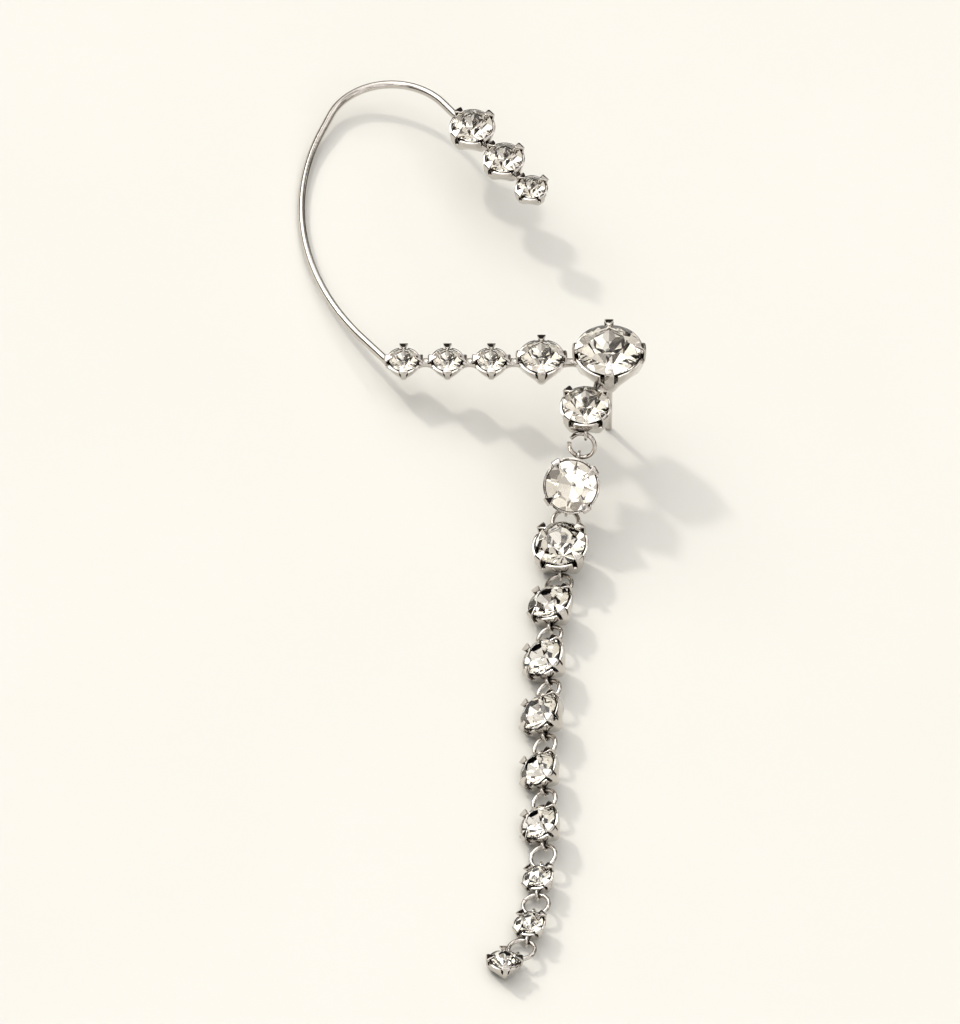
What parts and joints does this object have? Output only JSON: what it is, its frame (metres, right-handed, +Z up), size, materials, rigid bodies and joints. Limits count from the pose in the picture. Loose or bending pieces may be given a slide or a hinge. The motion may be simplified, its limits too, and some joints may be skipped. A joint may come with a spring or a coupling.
{
  "type": "ear cuff",
  "caption": "Silver-plated wire ear cuff with a soldered row of claw-set crystals, a lobe post and a long drop of crystals linked by jump rings, lying as it rests on a table.",
  "frame": {"origin": "on the table, under the middle of the piece's outline", "axes": "+Y from the end of the drop towards the hook, +Z up from the table, +X from the hook's bend towards the big stone"},
  "size_m": [0.04, 0.132, 0.0161],
  "materials": {
    "plated_metal": "bright rhodium-tone plating over brass, mirror polished",
    "crystal": "clear faceted lead-free glass with a silver foil back"
  },
  "bodies": {
    "root": {"cuff_frame": "plated_metal", "big_stone": "crystal", "second_stone": "crystal", "medium_stone": "crystal", "row_stone_1": "crystal", "row_stone_2": "crystal", "row_stone_3": "crystal", "hook_stone_1": "crystal", "hook_stone_2": "crystal", "hook_stone_3": "crystal", "jump_ring_01": "plated_metal", "jump_ring_02": "plated_metal", "jump_ring_03": "plated_metal", "jump_ring_04": "plated_metal", "jump_ring_05": "plated_metal", "jump_ring_06": "plated_metal", "jump_ring_07": "plated_metal", "jump_ring_08": "plated_metal", "jump_ring_09": "plated_metal", "jump_ring_10": "plated_metal", "drop_setting_01": "plated_metal", "drop_setting_02": "plated_metal", "drop_setting_03": "plated_metal", "drop_setting_04": "plated_metal", "drop_setting_05": "plated_metal", "drop_setting_06": "plated_metal", "drop_setting_07": "plated_metal", "drop_setting_08": "plated_metal", "drop_setting_09": "plated_metal", "drop_setting_10": "plated_metal", "drop_stone_01": "crystal", "drop_stone_02": "crystal", "drop_stone_03": "crystal", "drop_stone_04": "crystal", "drop_stone_05": "crystal", "drop_stone_06": "crystal", "drop_stone_07": "crystal", "drop_stone_08": "crystal", "drop_stone_09": "crystal", "drop_stone_10": "crystal"}
  },
  "joints": []
}
